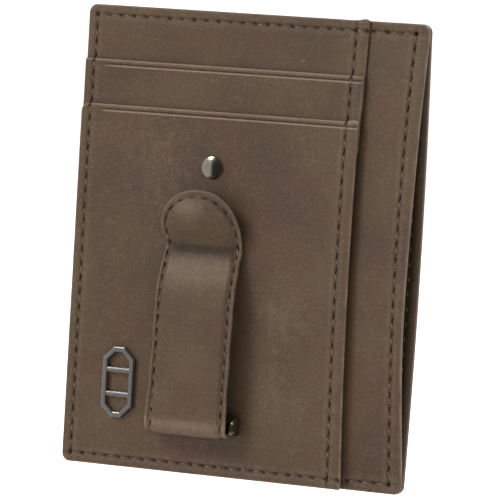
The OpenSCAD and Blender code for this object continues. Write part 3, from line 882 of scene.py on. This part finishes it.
def clip_edge_distance(x, z):
    """Distance inside the strap's outline, along its surface."""
    lip = np.clip((z - LIP_Z) / LIP_RY, 0, None)
    reach = np.hypot(x / CLIP_HALF_W, lip)
    return np.clip((1 - reach) * (CLIP_HALF_W + LIP_RY * lip) / (1 + lip), 0, None)


def clip_point(x, line, normal, offset):
    """Points at x across the strap, along its middle line, offset outwards from the steel."""
    h = line[:, 0][:, None] + normal[:, 0][:, None] * offset
    z = line[:, 1][:, None] + normal[:, 1][:, None] * offset
    return np.stack([CLIP_X + x, CLIP_FACE_Y - h, z], 2)


def clip_seam_inset(z):
    """How far the strap's seam runs inside its edge."""
    return CLIP_SEAM_INSET + (LIP_SEAM_INSET - CLIP_SEAM_INSET) * smoothstep(LIP_Z, TIP_Z, z)


def clip_seam_path(z_foot):
    """The seam up one side of the strap, round the lip and down the other side."""
    w = CLIP_HALF_W - CLIP_SEAM_INSET
    ry = LIP_RY - LIP_SEAM_INSET
    side = [(-w, z) for z in np.linspace(z_foot, LIP_Z, 60)]
    lip = [(-w * math.cos(a), LIP_Z + ry * math.sin(a)) for a in np.linspace(0, math.pi, 60)[1:-1]]
    return np.array(side + lip + [(-x, z) for x, z in side[::-1]])


def strap_grid(line, normal, run):
    """The strap's grid from the foot up: its middle line, the direction out of it, the distance
    from the foot, t from -1 to 1 across, x, z and the distance inside the edge."""
    from_foot = np.abs(line[:, 0] - (HINGE_H + 1.2)) + 10 * (line[:, 1] > HINGE_Z)
    first = int(np.argmin(from_foot))
    line, normal, run = line[first:], normal[first:], run[first:]
    z_rows = line[:, 1]
    side = np.concatenate([[0, 0.01, 0.025, 0.045], np.arange(0.06, 0.165, 0.0085)])
    t = np.concatenate([side, np.linspace(0.18, 1.82, 76), 2 - side[::-1]]) - 1
    x = t[None, :] * clip_half_width(z_rows)[:, None]
    z = np.repeat(z_rows[:, None], len(t), 1)
    d = clip_edge_distance(x, z)
    end = np.repeat((run - run[0])[:, None], len(t), 1)
    flare = (1 - smoothstep(12, 26, z_rows))[:, None] * np.where(t < 0, 0.5, 0.15)[None, :]
    neck = np.where(t[None, :] < 0, 0.55 * bell(z - NECK_Z, 2.2),
                    0.25 * bell(z - WAIST_Z, 1.6))
    x = x + (flare - neck) * t[None, :] + 0.10 * ripple(x, z, 5, 8) * np.exp(-d / 0.8)
    return line, normal, end, t, x, z, d


def strap_slits(x, z, end, stations):
    """How deep the needle's slits are, from 0 to 1."""
    hole = np.zeros_like(x)
    for sx, sz, tx, tz in stations:
        u = (x - sx) * tx + (z - sz) * tz
        v = -(x - sx) * tz + (z - sz) * tx
        near = (np.abs(u) < 1.8) & (np.abs(v) < 1.2) & (end > 2.4)
        long = rng.uniform(0.5, 0.95)
        slit = np.exp(-(u[near] / long) ** 4 - (v[near] / 0.17) ** 4) * rng.uniform(0.5, 1)
        hole[near] = np.maximum(hole[near], slit)
    return hole


def strap_relief(x, z, d, t, end, hole):
    """(height above the steel, paleness from wear and painted highlights, painted shade) of the
    strap's outer leather.
    """
    off_seam = d - clip_seam_inset(z)
    groove = bell(off_seam, 0.3)
    raised = smoothstep(1.2, 2.2, d)
    from_crease = z - CREASE_Z
    fill = 0.28 * bell(from_crease, 2.0)
    fill = fill * (1 - smoothstep(0.55, 0.85, np.abs(t)))[None, :]
    # fold only paints shade: darkest at the crease and just below it, a little above it.
    fold = (0.75 * bell(from_crease - 0.1, 1.2)
            + bell(from_crease + 1.7, 1.4)
            + 0.3 * bell(from_crease - 2.4, 2))
    pinch = patch(from_crease - 0.2, 0.7, off_seam, 0.5)
    lip = patch(x + 0.8, 6.0, z - 59.8, 3.2)
    bend = bell(end - 3.0, 1.1)
    wander = 0.35 * ripple(x, z, 9, 3)
    wrinkles = sum(share * bell(from_crease - off + wander, 0.22)
                   for off, share in ((-1.3, 0.5), (1.1, 0.7), (2.1, 0.35), (-2.4, 0.25)))
    height = COVER_T - 0.30 * (1 - raised) - edge_round(d, 0.3) - edge_round(end, 0.3)
    border = np.clip(1 + off_seam / clip_seam_inset(z), 0, 1)
    height += 0.10 * np.sin(math.pi * border)
    height = height - 0.12 * groove - 0.36 * hole - 0.04 * wrinkles + fill
    height = height + 0.65 * lip - 0.3 * pinch
    height += 0.10 * raised * np.cos(math.pi / 2 * t)[None, :]
    height += 0.03 * ripple(x, z, 14, 5) * raised + 0.015 * ripple(x, z, 4, 6)
    # Paler along the outline, on the wrinkles and in the seam groove.
    wear_and_highlight = 0.5 * bell(d, 0.3) + 0.12 * wrinkles + 0.10 * groove
    # A painted highlight below the crease, where the strap faces up to the key light.
    wear_and_highlight += 0.25 * bell(from_crease + 6, 3) * raised
    # Painted highlights on the lip's upper left, which faces the light, and on the foot's bend, lit
    # from below.
    wear_and_highlight = wear_and_highlight + 0.35 * patch(x + 2.5, 4, z - 61, 1.8) + 0.3 * bend
    # Painted light towards the strap's foot, as if lit from below.
    wear_and_highlight += 0.12 * (z < 17) * (1 - z / 17)
    # Painted shade in the needle slits, the crease's pinch, the seam groove and the crease.
    painted_shade = np.maximum(hole, 0.9 * pinch)
    painted_shade = np.maximum(painted_shade, np.maximum(0.4 * groove, 0.6 * fold * raised))
    return height, wear_and_highlight, painted_shade


def clip_pieces():
    """The strap's outer and inner leather and its thread."""
    line, normal, end, t, x, z, d = strap_grid(*clip_middle_line())
    z_rows = line[:, 1]
    stations = clip_stations(clip_seam_path(z_rows[0] + 1.4), line)
    hole = strap_slits(x, z, end, stations)
    height, wear_and_highlight, painted_shade = strap_relief(x, z, d, t, end, hole)
    outer = clip_point(x, line, normal, STEEL_T / 2 + height)
    under = clip_point(x, line, normal, STEEL_T / 2 * smoothstep(1.9, 2.5, d) + 0.01)
    build_strap("clip_outer_leather", outer, under, leather_material("leather_clip", seed=15.0),
                "clip_cover_outer", "leather", wear_and_highlight, painted_shade)

    keep = z_rows > 14.5
    line_kept, normal_kept, x, z, d = line[keep], normal[keep], x[keep], z[keep], d[keep]
    top = clip_point(x, line_kept, normal_kept, -STEEL_T / 2 * smoothstep(1.9, 2.5, d) - 0.01)
    depth = STEEL_T / 2 * smoothstep(1.6, 2.7, d) + COVER_INNER_T - edge_round(d, 0.2)
    depth -= 0.10 * bell(d - clip_seam_inset(z), 0.4)
    bottom = clip_point(x, line_kept, normal_kept, -depth)
    build_strap("clip_inner_leather", top, bottom,
                leather_material("leather_clip_lining", tone=0.72, seed=33.0),
                "clip_cover_inner", "clip_lining_leather",
                # Paler along the outline; painted shade in the needle slits.
                0.4 * bell(d, 0.3), 0.3 * hole[keep])
    clip_thread(stations, line, normal)


def build_strap(name, upper, lower, material, node, slot, wear_and_highlight, painted_shade):
    """A closed strap between two grids of points of the same shape."""
    nz, nx, _ = upper.shape
    faces = shell_faces(nx, nz, range(nx), range(nz), False)
    fields = {"wear_and_highlight": np.concatenate([wear_and_highlight.ravel(), 0 * wear_and_highlight.ravel()]),
              "painted_shade": np.concatenate([painted_shade.ravel(), 0 * painted_shade.ravel()])}
    points = np.concatenate([upper.reshape(-1, 3), lower.reshape(-1, 3)])
    make_piece(name, points, faces, material, "clip", [node], slot, fields)


FOOT_ROWS = 8  # of the middle line, which turn round the foot and do not rise


def clip_stations(path, line):
    """Hole places along the clip's seam, evenly spaced over the bent surface, with directions."""
    rows = line[FOOT_ROWS:]
    h = np.interp(path[:, 1], rows[:, 1], rows[:, 0])
    steps = np.linalg.norm(np.diff(np.column_stack([path, h]), axis=0), axis=1)
    run = np.concatenate([[0], np.cumsum(steps)])
    marks = np.linspace(0, run[-1], round(run[-1] / CLIP_PITCH) + 1)

    def place(at):
        return np.column_stack([np.interp(at, run, path[:, 0]), np.interp(at, run, path[:, 1])])

    way = place(marks + 0.2) - place(marks - 0.2)
    return np.hstack([place(marks), way / np.hypot(way[:, 0], way[:, 1])[:, None]])


def clip_thread(stations, line, normal):
    """The strap's stitches, laid on its outer face."""
    parts = []
    start = int(np.argmax(line[:, 0]))
    rows = np.column_stack([line, normal])[start:]
    lift = STEEL_T / 2 + COVER_T - 0.27
    for pair in zip(stations, stations[1:]):
        ends, outs = [], []
        for x, z, _, _ in pair:
            h, nh, nz = (np.interp(z, rows[:, 1], rows[:, k]) for k in (0, 2, 3))
            ends.append(np.array([CLIP_X + x, CLIP_FACE_Y - h - nh * lift, z + nz * lift]))
            outs.append(np.array([0, -nh, nz]))
        out = outs[0] + outs[1]
        parts.append(stitch(*ends, out / np.linalg.norm(out), lean=0.1))
    make_piece("clip_thread", *join_parts(parts), thread_material(), "clip", ["clip_stitching"],
               "thread")


# ---------------- metal parts
def lathe(profile, sides=64):
    """Points and faces of a turned shape about its own +z axis, from [radius, height] points."""
    turn = np.arange(sides) * TAU / sides
    r, height = np.array(profile).T
    rings = np.stack([np.outer(r, np.cos(turn)), np.outer(r, np.sin(turn)),
                      np.repeat(height[:, None], sides, 1)], 2)
    return rings.reshape(-1, 3), tube_faces(len(profile), sides)


def node_middle(node):
    """(x, z, half width, half height) of a CAD node."""
    low, high = node_box(node)
    middle, half = (low + high) / 2, (high - low) / 2
    return middle[0], middle[2], half[0], half[2]


def on_leather(points, x, z):
    """Points about the +z axis, turned to stand on the lower slot's leather at x and z."""
    return np.stack([x + points[:, 0], CLIP_FACE_Y - points[:, 2], z + points[:, 1]], 1)


def rivet(metal):
    """A domed head on a shank that is spread behind the leather."""
    x, z, head_r, _ = node_middle("clip_rivet")
    dome = 0.9
    profile = [(1.8, -POCKET_T - 0.7), (1.8, -POCKET_T - 0.5), (1.1, -POCKET_T - 0.5), (1.1, 0.0),
               (head_r - 0.12, 0.0), (head_r, 0.08), (head_r, 0.20)]
    for a in np.linspace(0.1, 0.9, 8):
        turn = a * math.pi / 2
        profile.append((head_r - 0.4 + 0.4 * math.cos(turn), 0.20 + 0.34 * math.sin(turn)))
    for share in np.linspace(0.92, 0.01, 12):
        profile.append((share * (head_r - 0.37), dome - (dome - 0.545) * share ** 2))
    points, faces = lathe(profile)
    make_piece("rivet", on_leather(points, x, z), faces, metal, "wallet", ["clip_rivet"],
               "gunmetal", sharp_deg=35)


def octagon(half_w, half_h, cut):
    """A rectangle with its corners cut off."""
    return [(-half_w, -half_h + cut), (-half_w + cut, -half_h), (half_w - cut, -half_h),
            (half_w, -half_h + cut), (half_w, half_h - cut), (half_w - cut, half_h),
            (-half_w + cut, half_h), (-half_w, half_h - cut)]


def ring_bar(outer, inner, levels):
    """A closed frame between two outlines, bevelled through levels of (height, share of the bar's
    half width)."""
    count = len(outer)
    outer, inner = np.array(outer), np.array(inner)
    middle = (outer + inner) / 2
    rings = []
    for side, steps in ((outer, levels), (inner, levels[::-1])):
        for height, share in steps:
            at = middle + (side - middle) * share
            rings.append(np.column_stack([at, np.full(count, height)]))
    points = np.concatenate(rings)
    faces = []
    total = len(rings)
    for k in range(total):
        for m in range(count):
            n = (m + 1) % count
            a, b = k * count, ((k + 1) % total) * count
            faces.append([a + m, a + n, b + n, b + m])
    return points, faces


def badge(metal):
    """An eight-sided frame with two cross-bars and a prong behind each end."""
    x, z, half_w, half_h = node_middle("badge")
    bar, thick, cut = 1.3, 1.2, 2.6
    levels = [(0.0, 0.96), (0.0, 1.0), (thick - 0.32, 1.0), (thick - 0.12, 0.86), (thick, 0.58)]
    parts = [ring_bar(octagon(half_w, half_h, cut),
                      octagon(half_w - bar, half_h - bar, cut - 0.6 * bar), levels)]
    reach = half_w - bar * 0.55
    slope = [(0.62, 0.38), (0.54, 0.22), (0.40, 0.12), (0.18, 0.06)]  # (from the middle, below)
    section = [(-0.62, 0.0)] + [(-s, thick - below) for s, below in slope]
    section += [(s, thick - below) for s, below in slope[::-1]] + [(0.62, 0.0)]
    for side in (-1, 1):
        rise = side * half_h * 2 * 0.17
        points = np.array([(end, rise + s, h) for end in (-reach, reach) for s, h in section])
        parts.append((points, tube_faces(2, len(section))))
    for side in (-1, 1):
        points, faces = lathe([(0.5, -POCKET_T - 0.3), (0.5, 0.02)], 20)
        parts.append((points + np.array([0, side * (half_h - bar / 2), 0]), faces))
    points, faces = join_parts(parts)
    make_piece("badge_frame", on_leather(points, x, z), faces, metal, "wallet", ["badge"],
               "gunmetal", sharp_deg=20)


def hinge_pin(metal):
    """A pin with a rounded head at each end."""
    half = node_middle("hinge_pin")[2]
    head, pin_r, head_t = 2.0, 1.6, 0.4
    profile = [(0.02, -half), (1.2, -half), (1.6, -half + 0.06), (head - 0.1, -half + 0.14),
               (head, -half + 0.26), (head, -half + head_t), (pin_r, -half + head_t)]
    profile += [(r, -z) for r, z in profile[::-1]]
    points, faces = lathe(profile, 48)
    points = np.stack([CLIP_X + points[:, 2], HINGE_Y + points[:, 0], HINGE_Z + points[:, 1]], 1)
    make_piece("pin", points, faces, metal, "wallet", ["hinge_pin"], "gunmetal", sharp_deg=35)


def torsion_spring(metal):
    """A true helix round the pin, with one leg on the leather and one that follows the arm."""
    half = node_middle("torsion_spring")[2] - 0.25
    mean_r, wire_r, turns = 1.95, 0.24, 13
    angle = np.linspace(-math.pi / 2, -math.pi / 2 + turns * TAU + math.pi, 24 * turns)
    x = np.linspace(-half, half, len(angle))
    radial = np.stack([0 * x, -np.sin(angle), np.cos(angle)], 1)
    path = np.stack([CLIP_X + x, HINGE_Y + 0 * x, HINGE_Z + 0 * x], 1) + mean_r * radial
    along = np.tile([1.0, 0, 0], (len(x), 1))
    wire = np.full(len(x), wire_r)
    coil = sweep(path, along, radial, wire, wire)
    leg_z = np.linspace(HINGE_Z - 0.05, HINGE_Z + 3.4, 8)

    def leg(x_at, y_at):
        points = np.stack([np.full(8, CLIP_X + x_at), np.full(8, y_at), leg_z], 1)
        return sweep(points, np.tile([1.0, 0, 0], (8, 1)), np.tile([0, 1.0, 0], (8, 1)),
                     np.full(8, wire_r), np.full(8, wire_r))

    points, faces = join_parts([coil, leg(-half, HINGE_Y + mean_r)])
    make_piece("spring_coil", points, faces, metal, "wallet", ["torsion_spring"], "spring_steel")
    points, faces = leg(half, HINGE_Y - mean_r)
    make_piece("spring_leg", points, faces, metal, "clip", (), "spring_steel")


def metal_parts():
    """The metal pieces, and the metal of the CAD nodes that are shown as they are."""
    gunmetal = metal_material("gunmetal", (0.43, 0.42, 0.40), 0.28, scuff=0.08)
    rivet_metal = metal_material("rivet_metal", (0.50, 0.46, 0.37), 0.14, scuff=0.04)
    steel = metal_material("spring_steel", (0.50, 0.50, 0.51), 0.32, brush=(1, 1, 0.05))
    dark_steel = metal_material("dark_steel", (0.30, 0.26, 0.16), 0.31)
    rivet(rivet_metal)
    badge(gunmetal)
    hinge_pin(dark_steel)
    torsion_spring(steel)
    for node, metal in (("clip_arm", steel), ("clip_base_plate", dark_steel),
                        ("badge_clinch_washers", steel)):
        piece = frame["nodes"][node]
        if not piece.material_slots:
            piece.data.materials.append(metal)
        for slot in piece.material_slots:
            slot.material = metal


add_camera()
add_studio()
wallet_leather()
linings()
clip_pieces()
metal_parts()
